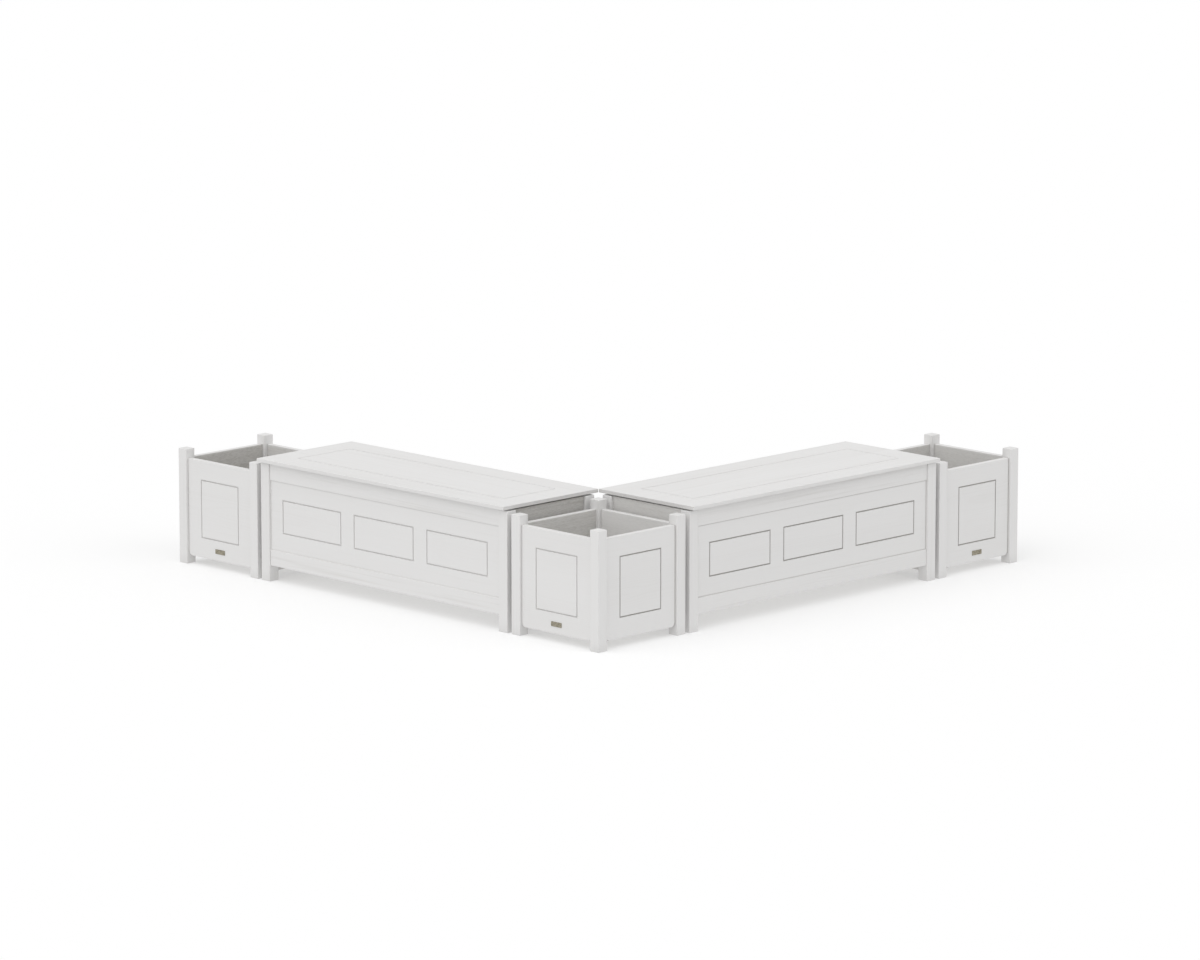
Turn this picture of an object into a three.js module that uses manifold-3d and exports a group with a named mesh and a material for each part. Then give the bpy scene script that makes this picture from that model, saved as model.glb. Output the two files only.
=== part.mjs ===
// Corner bench set: a corner planter, two storage benches at a right angle, and an end planter
// at the far end of each bench. Millimetres, +Z up, origin at the middle of the footprint.
import * as THREE from 'three';
import { mergeVertices } from 'three/addons/utils/BufferGeometryUtils.js';
import Module from 'manifold-3d';

const wasm = await Module();
wasm.setup();

// Fits and small common sizes
const jointGap = 0.3;
const cutOverrun = 5;
const edgeEasing = 2;
const cornerSteps = 2;
const edgeSteps = 1;

// Planter
const planterWidth = 450;
const planterHeight = 448;
const postSize = 44;
const panelThickness = 22;
const panelRecess = 9.5;
const panelTopHeight = 410;
const panelFootHeight = 34;
const panelFootRadius = 18;
const planterFieldWidth = 210;
const planterFieldHeight = 224;
const planterFloorHeight = 70;

// Tongues, housings and routed grooves
const tongueThickness = 10;
const tongueLength = 9;
const floorThickness = 12;
const floorHousingDepth = 7;
const routedWidth = 5;
const routedDepth = 4.5;
const routedSteps = 3;

// Drain holes in a planter floor
const drainRadius = 9;
const drainSpacing = 130;
const drainSides = 10;

// Metal plate on one panel of each planter
const plateWidth = 54;
const plateHeight = 18;
const plateThickness = 1.5;
const plateCentreHeight = 69.5;
const plateCornerRadius = 2;

// Storage bench
const benchLength = 1340;
const benchDepth = 450;
const legSize = 46;
const seatHeight = 474;
const unitGap = 21;
const railThickness = 26;
const railRecess = 5;
const topRailHeight = 66;
const bottomRailHeight = 66;
const bottomRailFootHeight = 62;
const frontPanelThickness = 10;
const frontPanelRecess = 14;
const benchFieldCount = 3;
const benchFieldWidth = 321;
const benchFieldHeight = 126;
const benchFieldGap = 74;
const backThickness = 20;
const endPanelThickness = 20;
const endPanelRecess = 9.5;
const benchFloorHeight = 84;

// Lid
const lidThickness = 14;
const lidFrontOverhang = 20;
const lidBackOverhang = 20;
const lidFieldInset = 112;
const buttonRadius = 6;
const buttonInset = 70;
const buttonSides = 12;

// Continuous hinge
const hingeLength = 1200;
const knuckleCount = 21;
const knuckleRadius = 2.6;
const knuckleSides = 10;
const knuckleGap = 0.5;
const pinRadius = 1.1;
const leafThickness = 1;
const leafWidth = 16;

const paint = { color: 0xefeeea, roughness: 0.55, metalness: 0 };
const brass = { color: 0x8f8a72, roughness: 0.4, metalness: 0.9 };
const steel = { color: 0xb9bcc0, roughness: 0.35, metalness: 1 };

const quarterTurn = Math.PI / 2;
const squareCorners = [[-1, -1], [1, -1], [1, 1], [-1, 1]];
const sides = ['front', 'left', 'back', 'right'];

// Solids: closed meshes that can be joined and cut
function solidOf(geometry) {
  const bare = geometry.clone();
  bare.deleteAttribute('normal');
  bare.deleteAttribute('uv');
  const merged = mergeVertices(bare);
  return new wasm.Manifold(new wasm.Mesh({
    numProp: 3,
    vertProperties: new Float32Array(merged.attributes.position.array),
    triVerts: new Uint32Array(merged.index.array),
  }));
}

function geometryOf(solid) {
  const mesh = solid.getMesh();
  const geometry = new THREE.BufferGeometry();
  geometry.setAttribute('position', new THREE.BufferAttribute(new Float32Array(mesh.vertProperties), 3));
  geometry.setIndex(new THREE.BufferAttribute(new Uint32Array(mesh.triVerts), 1));
  geometry.computeVertexNormals();
  return geometry;
}

function makeMesh(name, solid, look) {
  const mesh = new THREE.Mesh(geometryOf(solid), new THREE.MeshStandardMaterial(look));
  mesh.name = name;
  return mesh;
}

// A plain block between two corners
function block(low, high) {
  const size = high.map((value, axis) => value - low[axis]);
  const middle = high.map((value, axis) => (value + low[axis]) / 2);
  return solidOf(new THREE.BoxGeometry(...size).translate(...middle));
}

// The space a board needs in its neighbour: the board's block, grown by the joint gap
function housing(low, high) {
  return block(low.map((value) => value - jointGap), high.map((value) => value + jointGap));
}

// A rectangle with its own radius at each corner: left low, right low, right high, left high
function cornerRect(left, low, right, high, radii) {
  const [ll, rl, rh, lh] = radii;
  const shape = new THREE.Shape();
  shape.moveTo(left + ll, low);
  shape.lineTo(right - rl, low);
  if (rl > 0) shape.absarc(right - rl, low + rl, rl, -quarterTurn, 0, false);
  shape.lineTo(right, high - rh);
  if (rh > 0) shape.absarc(right - rh, high - rh, rh, 0, quarterTurn, false);
  shape.lineTo(left + lh, high);
  if (lh > 0) shape.absarc(left + lh, high - lh, lh, quarterTurn, 2 * quarterTurn, false);
  shape.lineTo(left, low + ll);
  if (ll > 0) shape.absarc(left + ll, low + ll, ll, 2 * quarterTurn, 3 * quarterTurn, false);
  return shape;
}

// A square post along Z from the ground, with eased long edges and eased ends
function uprightPost(size, height) {
  const half = size / 2 - edgeEasing;
  const inner = edgeEasing / 2;
  const shape = cornerRect(-half, -half, half, half, [inner, inner, inner, inner]);
  const geometry = new THREE.ExtrudeGeometry(shape, {
    depth: height - 2 * edgeEasing,
    bevelThickness: edgeEasing,
    bevelSize: edgeEasing,
    bevelSegments: edgeSteps,
    curveSegments: cornerSteps,
  });
  return solidOf(geometry.translate(0, 0, edgeEasing));
}

// A board standing in the XZ plane: its outline, eased round both faces, from y = 0 to y = thickness
function standingBoard(left, low, right, high, thickness, footRadius = 0) {
  const ease = edgeEasing / 2;
  const foot = Math.max(footRadius - ease, 0);
  const shape = cornerRect(left + ease, low + ease, right - ease, high - ease, [foot, foot, 0, 0]);
  const geometry = new THREE.ExtrudeGeometry(shape, {
    depth: thickness - 2 * ease,
    bevelThickness: ease,
    bevelSize: ease,
    bevelSegments: edgeSteps,
    curveSegments: 2 * cornerSteps,
  });
  geometry.rotateX(quarterTurn);
  return solidOf(geometry.translate(0, thickness - ease, 0));
}

// A rail along X with eased long edges: its section is a rounded rectangle in the YZ plane
function rail(length, depth, height) {
  const ease = edgeEasing;
  const shape = cornerRect(0, 0, depth, height, [ease, ease, ease, ease]);
  const geometry = new THREE.ExtrudeGeometry(shape, {
    depth: length,
    bevelEnabled: false,
    curveSegments: cornerSteps,
  });
  geometry.rotateX(quarterTurn);
  geometry.rotateZ(quarterTurn);
  return solidOf(geometry.translate(-length / 2, 0, 0));
}

// The same list, started one item later and closed with the first
function following(list) {
  return [...list.slice(1), list[0]];
}

// The cutter of a routed rectangle in a face at y = 0 that looks to -Y: the section of a
// round-nosed bit, upright at its sides, carried round the four mitred corners
function routedFrame(centreX, centreZ, width, height) {
  const noseRadius = routedWidth / 2;
  const noseCentre = routedDepth - noseRadius;
  const section = [];
  for (let step = 0; step <= routedSteps; step += 1) {
    const angle = (step / routedSteps) * 2 * quarterTurn;
    section.push([-Math.cos(angle) * noseRadius, noseCentre + Math.sin(angle) * noseRadius]);
  }
  section.push([noseRadius, -cutOverrun]);
  section.push([-noseRadius, -cutOverrun]);
  const rings = squareCorners.map(([signX, signZ]) => section.map(([outward, inward]) => [
    centreX + signX * (width / 2 + outward),
    inward,
    centreZ + signZ * (height / 2 + outward),
  ]));
  const triangles = [];
  following(rings).forEach((nextRing, corner) => {
    const ring = rings[corner];
    const after = following(ring);
    const nextAfter = following(nextRing);
    ring.forEach((here, point) => {
      triangles.push(here, nextRing[point], nextAfter[point]);
      triangles.push(here, nextAfter[point], after[point]);
    });
  });
  const positions = new Float32Array(triangles.flat());
  const geometry = new THREE.BufferGeometry();
  geometry.setAttribute('position', new THREE.BufferAttribute(positions, 3));
  return solidOf(geometry);
}

// Planter: the panel that faces -Y, in the planter's own frame with its middle at the origin
const planterHalf = planterWidth / 2;
const panelHalfLength = planterHalf - postSize - jointGap;
const panelFace = -planterHalf + panelRecess;
const panelInside = panelFace + panelThickness;
const planterTongueLow = [
  -panelHalfLength - tongueLength,
  panelFace + (panelThickness - tongueThickness) / 2,
  panelFootHeight + panelFootRadius,
];
const planterTongueHigh = [
  panelHalfLength + tongueLength,
  panelFace + (panelThickness + tongueThickness) / 2,
  panelTopHeight - edgeEasing,
];
const planterFloorTop = planterFloorHeight + floorThickness;
const planterFloorHalf = planterHalf - panelRecess - panelThickness + floorHousingDepth;

function planterPanel() {
  const board = standingBoard(
    -panelHalfLength, panelFootHeight, panelHalfLength, panelTopHeight, panelThickness, panelFootRadius,
  );
  const field = routedFrame(0, (panelFootHeight + panelTopHeight) / 2, planterFieldWidth, planterFieldHeight);
  return board.subtract(field).translate([0, panelFace, 0])
    .add(block(planterTongueLow, planterTongueHigh))
    .subtract(housing(
      [-planterFloorHalf, -planterFloorHalf, planterFloorHeight],
      [planterFloorHalf, 0, planterFloorTop],
    ));
}

// The post at the corner to -X and -Y, housed for the tongues of the panels on both sides
function planterPost() {
  const centre = -planterHalf + postSize / 2;
  const slot = housing(planterTongueLow, planterTongueHigh);
  return uprightPost(postSize, planterHeight)
    .translate([centre, centre, 0])
    .subtract(slot)
    .subtract(slot.rotate([0, 0, -90]));
}

// The floor: a square board notched round the posts, with drain holes
function planterFloor() {
  const notch = planterHalf - postSize;
  let floor = block(
    [-planterFloorHalf, -planterFloorHalf, planterFloorHeight],
    [planterFloorHalf, planterFloorHalf, planterFloorTop],
  );
  const drill = new THREE.CylinderGeometry(drainRadius, drainRadius, floorThickness + cutOverrun, drainSides);
  drill.rotateX(quarterTurn);
  const drainCut = solidOf(drill.translate(0, 0, (planterFloorHeight + planterFloorTop) / 2));
  for (const [signX, signY] of squareCorners) {
    const post = housing([notch, notch, 0], [planterHalf, planterHalf, planterHeight]);
    floor = floor.subtract(post.scale([signX, signY, 1]));
    floor = floor.subtract(drainCut.translate([signX * drainSpacing / 2, signY * drainSpacing / 2, 0]));
  }
  return floor.subtract(drainCut);
}

// The bare plate on a panel's face, below the routed rectangle
function planterPlate() {
  const radius = plateCornerRadius;
  const shape = cornerRect(
    -plateWidth / 2, -plateHeight / 2, plateWidth / 2, plateHeight / 2, [radius, radius, radius, radius],
  );
  const geometry = new THREE.ExtrudeGeometry(shape, {
    depth: plateThickness,
    bevelEnabled: false,
    curveSegments: cornerSteps,
  });
  geometry.rotateX(quarterTurn);
  return solidOf(geometry.translate(0, panelFace - jointGap, plateCentreHeight));
}

// One planter: a post and a panel on each side in turn, and a plate on one of the panels
function makePlanter(prefix, plateSide) {
  const planter = new THREE.Group();
  const panel = planterPanel();
  const post = planterPost();
  sides.forEach((name, turn) => {
    const side = new THREE.Group();
    side.rotation.z = -turn * quarterTurn;
    side.add(makeMesh(`${prefix}_post_${turn + 1}`, post, paint));
    side.add(makeMesh(`${prefix}_panel_${turn + 1}`, panel, paint));
    if (name === plateSide) side.add(makeMesh(`${prefix}_plate`, planterPlate(), brass));
    planter.add(side);
  });
  planter.add(makeMesh(`${prefix}_floor`, planterFloor(), paint));
  return planter;
}

// Bench: own frame with its middle at the origin, length along X, front to -Y
const lidBottom = seatHeight - lidThickness;
const lidGap = 2 * (knuckleRadius + jointGap);
const frameTop = lidBottom - lidGap;
const halfLength = benchLength / 2;
const halfDepth = benchDepth / 2;
const railLength = benchLength - 2 * (legSize + jointGap);
const topRailLow = frameTop - topRailHeight;
const bottomRailTop = bottomRailFootHeight + bottomRailHeight;
const railFace = -halfDepth + railRecess;
const frontPanelFace = -halfDepth + frontPanelRecess;
const frontPanelLow = [-railLength / 2 - tongueLength, frontPanelFace, bottomRailTop - tongueLength];
const frontPanelHigh = [
  railLength / 2 + tongueLength, frontPanelFace + frontPanelThickness, topRailLow + tongueLength,
];
const backInside = halfDepth - backThickness;
const backLow = [-railLength / 2, backInside, bottomRailFootHeight];
const backHigh = [railLength / 2, halfDepth, frameTop];
const backTongueLow = [
  backLow[0] - tongueLength, halfDepth - (backThickness + tongueThickness) / 2, backLow[2] + edgeEasing,
];
const backTongueHigh = [
  backHigh[0] + tongueLength, halfDepth - (backThickness - tongueThickness) / 2, backHigh[2] - edgeEasing,
];
const endPanelHalfLength = halfDepth - legSize - jointGap;
const endPanelFace = -halfLength + endPanelRecess;
const endTongueLow = [
  endPanelFace + (endPanelThickness - tongueThickness) / 2,
  -endPanelHalfLength - tongueLength,
  panelFootHeight + panelFootRadius,
];
const endTongueHigh = [
  endPanelFace + (endPanelThickness + tongueThickness) / 2,
  endPanelHalfLength + tongueLength,
  frameTop - edgeEasing,
];
const benchFloorLow = [
  endPanelFace + endPanelThickness - floorHousingDepth,
  railFace + railThickness - floorHousingDepth,
  benchFloorHeight,
];
const benchFloorHigh = [
  -benchFloorLow[0],
  backInside + floorHousingDepth,
  benchFloorHeight + floorThickness,
];

// A leg at the given end and face, housed for the panels that meet it
function benchLeg(endSign, faceSign) {
  const x = endSign * (halfLength - legSize / 2);
  const y = faceSign * (halfDepth - legSize / 2);
  const endSlot = housing(endTongueLow, endTongueHigh).scale([-endSign, 1, 1]);
  const faceSlot = faceSign < 0
    ? housing(frontPanelLow, frontPanelHigh)
    : housing(backTongueLow, backTongueHigh);
  return uprightPost(legSize, frameTop).translate([x, y, 0]).subtract(endSlot).subtract(faceSlot);
}

// The top rail, with a button near each end that keeps the closed lid level with its hinge
function frontTopRail() {
  const height = buttonRadius + lidGap - jointGap;
  const button = new THREE.CylinderGeometry(buttonRadius, buttonRadius, height, buttonSides);
  button.rotateX(quarterTurn);
  button.translate(0, railFace + railThickness / 2, lidBottom - jointGap - height / 2);
  const buttonX = railLength / 2 - buttonInset;
  return rail(railLength, railThickness, topRailHeight)
    .translate([0, railFace, topRailLow])
    .subtract(housing(frontPanelLow, frontPanelHigh))
    .add(solidOf(button).translate([-buttonX, 0, 0]))
    .add(solidOf(button).translate([buttonX, 0, 0]));
}

function frontBottomRail() {
  return rail(railLength, railThickness, bottomRailHeight)
    .translate([0, railFace, bottomRailFootHeight])
    .subtract(housing(frontPanelLow, frontPanelHigh))
    .subtract(housing(benchFloorLow, benchFloorHigh));
}

// The front panel, with its row of routed rectangles
function frontPanel() {
  let panel = block(frontPanelLow, frontPanelHigh);
  const pitch = benchFieldWidth + benchFieldGap;
  const middleHeight = (bottomRailTop + topRailLow) / 2;
  for (let field = 0; field < benchFieldCount; field += 1) {
    const x = (field - (benchFieldCount - 1) / 2) * pitch;
    const cutter = routedFrame(x, middleHeight, benchFieldWidth, benchFieldHeight);
    panel = panel.subtract(cutter.translate([0, frontPanelFace, 0]));
  }
  return panel;
}

function backPanel() {
  return standingBoard(backLow[0], backLow[2], backHigh[0], backHigh[2], backThickness)
    .translate([0, backInside, 0])
    .add(block(backTongueLow, backTongueHigh))
    .subtract(housing(benchFloorLow, benchFloorHigh));
}

function endPanel() {
  return standingBoard(
    -endPanelHalfLength, panelFootHeight, endPanelHalfLength, frameTop, endPanelThickness, panelFootRadius,
  )
    .rotate([0, 0, -90])
    .translate([endPanelFace, 0, 0])
    .add(block(endTongueLow, endTongueHigh))
    .subtract(housing(benchFloorLow, benchFloorHigh));
}

// The storage floor, notched round the four legs
function benchFloor() {
  let floor = block(benchFloorLow, benchFloorHigh);
  for (const [endSign, faceSign] of squareCorners) {
    const leg = housing([halfLength - legSize, halfDepth - legSize, 0], [halfLength, halfDepth, frameTop]);
    floor = floor.subtract(leg.scale([endSign, faceSign, 1]));
  }
  return floor;
}

// The lid: a board with eased edges and one routed rectangle in its top
function lidBoard() {
  const front = -halfDepth - lidFrontOverhang;
  const back = halfDepth + lidBackOverhang;
  const board = standingBoard(-halfLength, front, halfLength, back, lidThickness);
  const fieldWidth = benchLength - 2 * lidFieldInset;
  const fieldDepth = back - front - 2 * lidFieldInset;
  const field = routedFrame(0, (front + back) / 2, fieldWidth, fieldDepth);
  return board.subtract(field).rotate([-90, 0, 0]).translate([0, 0, seatHeight]);
}

// Hinge: its line runs along X, behind the back and level with the middle of the lid's gap
const hingeY = halfDepth + knuckleRadius + jointGap;
const hingeZ = lidBottom - lidGap / 2;
const knucklePitch = hingeLength / knuckleCount;
const knuckleLength = knucklePitch - knuckleGap;

// A round bar along X, centred on the hinge line
function hingeBar(radius, length, centreX) {
  const geometry = new THREE.CylinderGeometry(radius, radius, length, knuckleSides);
  geometry.rotateZ(quarterTurn);
  return solidOf(geometry.translate(centreX, hingeY, hingeZ));
}

// A leaf that lies flat on the frame: its plate stops short of the knuckles, and every second
// knuckle has a web that joins it to the plate. The pin runs clear through all of them.
function hingeLeaf(firstKnuckle) {
  const low = hingeZ - knuckleRadius;
  const high = low + leafThickness;
  const plateEdge = hingeY - knuckleRadius - knuckleGap;
  let leaf = block([-hingeLength / 2, plateEdge - leafWidth, low], [hingeLength / 2, plateEdge, high]);
  for (let index = firstKnuckle; index < knuckleCount; index += 2) {
    const x = (index + 1 / 2) * knucklePitch - hingeLength / 2;
    const left = x - knuckleLength / 2;
    const right = x + knuckleLength / 2;
    leaf = leaf.add(hingeBar(knuckleRadius, knuckleLength, x));
    leaf = leaf.add(block([left, plateEdge - leafThickness, low], [right, hingeY, high]));
  }
  return leaf.subtract(hingeBar(pinRadius + jointGap, hingeLength + cutOverrun, 0));
}

function frameLeaf() {
  return hingeLeaf(0);
}

// The lid's leaf is the same shape turned over about the hinge line's level
function lidLeaf() {
  return hingeLeaf(1).translate([0, 0, -hingeZ]).scale([1, 1, -1]).translate([0, 0, hingeZ]);
}

function makeBench(prefix) {
  const bench = new THREE.Group();
  let legNumber = 1;
  for (const faceSign of [-1, 1]) {
    for (const endSign of [-1, 1]) {
      bench.add(makeMesh(`${prefix}_leg_${legNumber}`, benchLeg(endSign, faceSign), paint));
      legNumber += 1;
    }
  }
  bench.add(makeMesh(`${prefix}_front_top_rail`, frontTopRail(), paint));
  bench.add(makeMesh(`${prefix}_front_panel`, frontPanel(), paint));
  bench.add(makeMesh(`${prefix}_front_bottom_rail`, frontBottomRail(), paint));
  bench.add(makeMesh(`${prefix}_back_panel`, backPanel(), paint));
  bench.add(makeMesh(`${prefix}_end_panel_1`, endPanel(), paint));
  bench.add(makeMesh(`${prefix}_end_panel_2`, endPanel().rotate([0, 0, 180]), paint));
  bench.add(makeMesh(`${prefix}_floor`, benchFloor(), paint));
  bench.add(makeMesh(`${prefix}_lid`, lidBoard(), paint));
  bench.add(makeMesh(`${prefix}_hinge_frame_leaf`, frameLeaf(), steel));
  bench.add(makeMesh(`${prefix}_hinge_lid_leaf`, lidLeaf(), steel));
  bench.add(makeMesh(`${prefix}_hinge_pin`, hingeBar(pinRadius, hingeLength, 0), steel));
  return bench;
}

// The set: benches run from the corner planter along +X and +Y, with a planter at each far end
const runStart = planterWidth + unitGap;
const benchMiddle = runStart + halfLength;
const endPlanterMiddle = runStart + benchLength + unitGap + planterHalf;
const footprintMiddle = (endPlanterMiddle + planterHalf - lidFrontOverhang) / 2;

const units = [
  { unit: makePlanter('corner_planter', 'left'), place: [planterHalf, planterHalf], turn: 0 },
  { unit: makePlanter('left_planter', 'left'), place: [planterHalf, endPlanterMiddle], turn: 0 },
  { unit: makePlanter('right_planter', 'front'), place: [endPlanterMiddle, planterHalf], turn: 0 },
  { unit: makeBench('left_bench'), place: [halfDepth, benchMiddle], turn: -quarterTurn },
  { unit: makeBench('right_bench'), place: [benchMiddle, halfDepth], turn: 0 },
];

const benchSet = new THREE.Group();
for (const { unit, place, turn } of units) {
  unit.position.set(place[0] - footprintMiddle, place[1] - footprintMiddle, 0);
  unit.rotation.z = turn;
  benchSet.add(unit);
}

export default benchSet;
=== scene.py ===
"""Corner bench set in painted wood: three square planters and two storage benches with hinged lids.

Every board, post and rail is worked out with numpy as a surface in metres and takes the place of
its CAD node. The floors and hinges of the frame stay and get their finish here.
"""

import math

import bpy
import numpy as np
from bpy.props import FloatProperty, FloatVectorProperty, IntProperty, PointerProperty
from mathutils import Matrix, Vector


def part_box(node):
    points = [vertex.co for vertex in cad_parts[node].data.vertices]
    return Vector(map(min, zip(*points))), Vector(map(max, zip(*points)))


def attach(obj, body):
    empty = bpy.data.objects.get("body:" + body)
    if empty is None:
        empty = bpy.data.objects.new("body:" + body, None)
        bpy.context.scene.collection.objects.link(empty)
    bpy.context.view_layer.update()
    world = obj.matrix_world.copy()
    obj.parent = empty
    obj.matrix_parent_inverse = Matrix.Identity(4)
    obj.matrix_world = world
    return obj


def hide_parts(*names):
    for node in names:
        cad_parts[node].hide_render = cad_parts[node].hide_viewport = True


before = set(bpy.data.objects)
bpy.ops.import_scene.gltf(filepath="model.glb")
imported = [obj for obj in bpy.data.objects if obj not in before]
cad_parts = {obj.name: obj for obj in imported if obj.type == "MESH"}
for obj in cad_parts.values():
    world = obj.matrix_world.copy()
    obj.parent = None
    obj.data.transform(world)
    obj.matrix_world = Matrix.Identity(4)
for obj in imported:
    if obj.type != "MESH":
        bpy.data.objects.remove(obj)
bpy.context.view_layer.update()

bl_info = {
    "name": "Corner Bench Set",
    "version": (1, 0, 0),
    "blender": (4, 5, 0),
    "location": "3D View > Sidebar > Bench Set",
    "description": "Painted storage benches and planters, built over the frame of a corner set",
    "category": "Add Mesh",
}

PLANTERS = ("corner_planter", "left_planter", "right_planter")
BENCHES = ("left_bench", "right_bench")
LID_BODIES = {"left_bench": "left_lid", "right_bench": "right_lid"}
SIDES = (1, 2, 3, 4)
UP = 2
SHADED_FRONT = (1, -1)  # (axis, sign) of a front that looks to -Y, away from the large lamp
FAR_FRONT = (1, 1)  # the same for a front that looks to +Y, so that its reverse looks to -Y
SAME_PLACE = 1e-6  # two places closer than this, in metres, are taken as one
WHITE = (1.0, 1.0, 1.0, 1.0)
SHARP = math.radians(40.0)  # an edge that turns more than this is shaded as sharp
SENSOR_WIDTH = 36.0  # millimetres
CAMERA_REACH = (0.1, 400.0)  # metres, nearest and farthest


# Sizes and colours that a user would change

def number(name, description, default, **details):
    """A number, with any detail that Blender's own property takes."""
    return FloatProperty(name=name, description=description, default=default, **details)


def triple(name, description, default, **details):
    """Three numbers."""
    return FloatVectorProperty(name=name, description=description, default=default, **details)


def length(name, description, default):
    """A length in metres, shown with its unit."""
    return number(name, description, default, min=0.0, precision=5, unit="LENGTH")


def amount(name, description, default):
    """A plain number, never below 0."""
    return number(name, description, default, min=0.0)


def bearing(name, description, degrees):
    """An angle, given in degrees."""
    return number(name, description, math.radians(degrees), subtype="ANGLE")


def whole(name, description, default):
    """A whole number from 1 up."""
    return IntProperty(name=name, description=description, default=default, min=1)


def colour(name, description, default):
    """A colour, given as its sRGB values and stored as scene values."""
    linear = [((c + 0.055) / 1.055) ** 2.4 if c > 0.04045 else c / 12.92 for c in default]
    return triple(name, description, linear, min=0.0, max=1.0, subtype="COLOR")


class BenchSetBoards(bpy.types.PropertyGroup):
    """Sizes that the boards, posts and rails share."""

    post_easing: length("Post easing", "Radius on the edges of posts and legs", 0.0022)
    board_easing: length("Board easing", "Radius on the edges of panels and rails", 0.0014)
    lid_easing: length("Lid easing", "Radius on the edges of the lids", 0.0014)
    tongue: length("Tongue", "How far a panel's tongue reaches past its shoulder", 0.009)
    housed: length("Housed depth", "How far a front panel sits in its rails and legs", 0.002)
    foot_radius: length("Foot radius", "Radius of a panel's two lower corners", 0.018)
    panel_rise: length("Panel rise", "How much higher a planter panel and its field are", 0.0025)
    rail_height: length("Rail height", "Height of a front rail", 0.062)
    panel_step: length("Panel step", "From a front rail's face back to the panel's", 0.004)
    arc_steps: whole("Arc steps", "Facets on each half of an eased edge", 3)


class BenchSetGrooves(bpy.types.PropertyGroup):
    """Sizes of the routed rectangles."""

    width: length("Groove width", "Width of a routed groove", 0.005)
    depth: length("Groove depth", "Depth of a routed groove", 0.0045)
    lip: length("Groove lip", "Radius on the two lips of a groove", 0.0004)
    planter_width: length("Planter field width", "Width of a planter panel's rectangle", 0.210)
    planter_height: length("Planter field height", "Height of a planter panel's rectangle", 0.224)
    bench_width: length("Bench field width", "Width of a front panel's rectangle", 0.321)
    bench_height: length("Bench field height", "Height of a front panel's rectangle", 0.126)
    bench_gap: length("Bench field gap", "Gap between a front panel's rectangles", 0.074)
    lid_inset: length("Lid field inset", "From a lid's edge to its rectangle", 0.112)
    bench_count: whole("Bench fields", "Rectangles in a row on a front panel", 3)
    arc_steps: whole("Arc steps", "Facets on each half of a groove's round bottom", 4)


class BenchSetFasteners(bpy.types.PropertyGroup):
    """Sizes of the small pieces."""

    plate_radius: length("Plate radius", "Corner radius of a plate", 0.002)
    pin_radius: length("Pin radius", "Radius of a plate pin's head", 0.0017)
    pin_height: length("Pin height", "Height of a plate pin's head", 0.000765)
    pin_inset: length("Pin inset", "From a plate's end to its pin", 0.0045)
    screw_radius: length("Screw radius", "Radius of a hinge screw's head", 0.0026)
    screw_height: length("Screw height", "Height of a hinge screw's head", 0.0008)
    screw_spacing: length("Screw spacing", "Distance between hinge screws", 0.0571)
    screw_inset: length("Screw inset", "From a leaf's long edge to its screws", 0.008)
    leaf_thickness: length("Leaf thickness", "Thickness of a hinge leaf", 0.001)
    button_radius: length("Button radius", "Radius of the buttons under a lid", 0.006)
    button_rim: length("Button rim", "Radius on the rim of a button", 0.0012)
    button_inset: length("Button inset", "From a rail's end to its button", 0.070)


class BenchSetWearAndShade(bpy.types.PropertyGroup):
    """How thin the paint is, and its painted shade on grooves, joints, lids and hidden faces."""

    width: length("Wear width", "Width of the worn band beside each edge and joint", 0.007)
    planter_age: amount("Planter age", "Thin paint on planter panels, against posts", 0.3)
    front_age: amount("Front age", "Thin paint on front panels, against posts", 0.4)
    rail_age: amount("Rail age", "Thin paint on front rails, against posts", 1.7)
    # Painted shade on hidden faces, by how they face the large lamp and how close other units stand
    minus_y_shade: amount("Shaded coat", "Stain on hidden faces that look to -Y, against others", 2.5)
    left_shade: amount("Left coat", "The same on the left planter and bench, against others", 1.7)
    corner_shade: amount("Corner coat", "Stain on the corner planter's face that looks to -X", 0.5)
    # Painted shade in grooves and at joints on fronts that look to -Y, away from the large lamp
    minus_y_groove_shade: amount("Shaded dust", "Dust in grooves that look to -Y, against others", 2.6)
    # Painted shade beside a panel's joints, against a groove's
    seam_shade: amount("Seam dust", "Dust beside a panel's joints, against a groove's", 1.0)
    # Painted shade on a lid's long edges and on its ends
    lid_dust: amount("Lid dust", "Dust on the long edges of a lid, against a groove's", 0.2)
    lid_end_dust: amount("Lid end dust", "Dust on the ends of a lid, against a groove's", 0.7)


class BenchSetFinishes(bpy.types.PropertyGroup):
    """Colours of the finishes."""

    paint: colour("Paint", "Colour of the painted wood", (0.902, 0.899, 0.896))
    thin_paint: colour("Thin paint", "Paint over raised grain and edges", (0.800, 0.790, 0.775))
    # The single coat on hidden faces also stands for painted shade there
    undercoat_and_shade: colour("Undercoat", "Single coat on hidden faces", (0.862, 0.857, 0.848))
    # Also the colour of the painted shade in grooves, at joints, on lid edges and hidden faces
    dust: colour("Dust", "Dust in grooves and near the ground", (0.560, 0.547, 0.522))
    brass: colour("Brass", "Colour of the plates", (0.625, 0.601, 0.538))
    patina: colour("Patina", "Darkened brass", (0.420, 0.405, 0.352))
    steel: colour("Steel", "Colour of the hinges", (0.720, 0.730, 0.740))


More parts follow.
